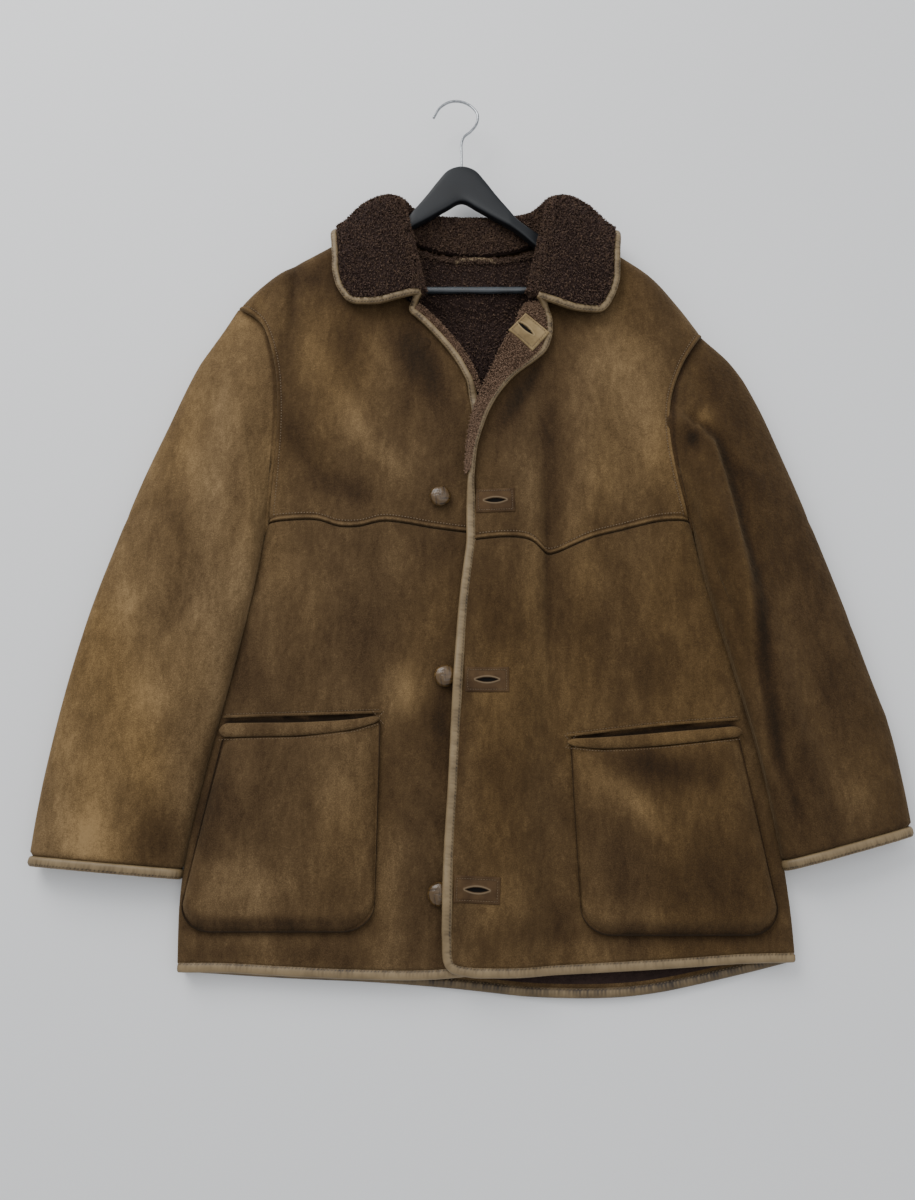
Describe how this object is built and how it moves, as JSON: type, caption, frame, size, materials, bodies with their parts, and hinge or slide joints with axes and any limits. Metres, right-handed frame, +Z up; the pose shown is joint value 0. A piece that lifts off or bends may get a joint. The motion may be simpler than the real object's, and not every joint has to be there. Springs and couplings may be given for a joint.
{
  "type": "shearling coat on a trouser hanger",
  "caption": "Sheepskin coat laid on its back and open at the neck, with wool collar, bound edges, yoke seams, patch pockets and woven buttons, on a trouser hanger.",
  "frame": {"origin": "on the floor plane, under the middle of the bounding box", "axes": "+Z up off the floor out of the coat's front, +Y from hem to collar, +X towards the wearer's left side"},
  "size_m": [0.8624, 0.9994, 0.0656],
  "materials": {
    "suede": "brushed brown suede with a soft nap",
    "fleece": "clipped dark brown sheep's wool",
    "binding": "smooth tan leather strip, lightly creased",
    "patch": "smooth brown leather",
    "button": "polished woven leather",
    "hanger": "charcoal moulded plastic",
    "wire": "bright plated wire"
  },
  "bodies": {
    "root": {"back": "suede", "front_right_yoke": "suede", "front_left_yoke": "suede", "front_right_lower": "suede", "front_left_lower": "suede", "lapel_right": "fleece", "lapel_left": "fleece", "sleeve_right": "suede", "binding_cuff_right": "binding", "sleeve_left": "suede", "binding_cuff_left": "binding", "collar": "fleece", "binding_collar": "binding", "binding_back_hem": "binding", "binding_front_right": "binding", "binding_front_left": "binding", "pocket_right": "suede", "pocket_welt_right": "suede", "pocket_left": "suede", "pocket_welt_left": "suede", "button_1": "button", "button_2": "button", "button_3": "button", "button_4": "button", "buttonhole_patch_2": "patch", "buttonhole_patch_3": "patch", "buttonhole_patch_4": "patch", "buttonhole_patch_1": "binding", "hang_loop": "binding", "hanger": "hanger", "hanger_hook": "wire"}
  },
  "joints": []
}
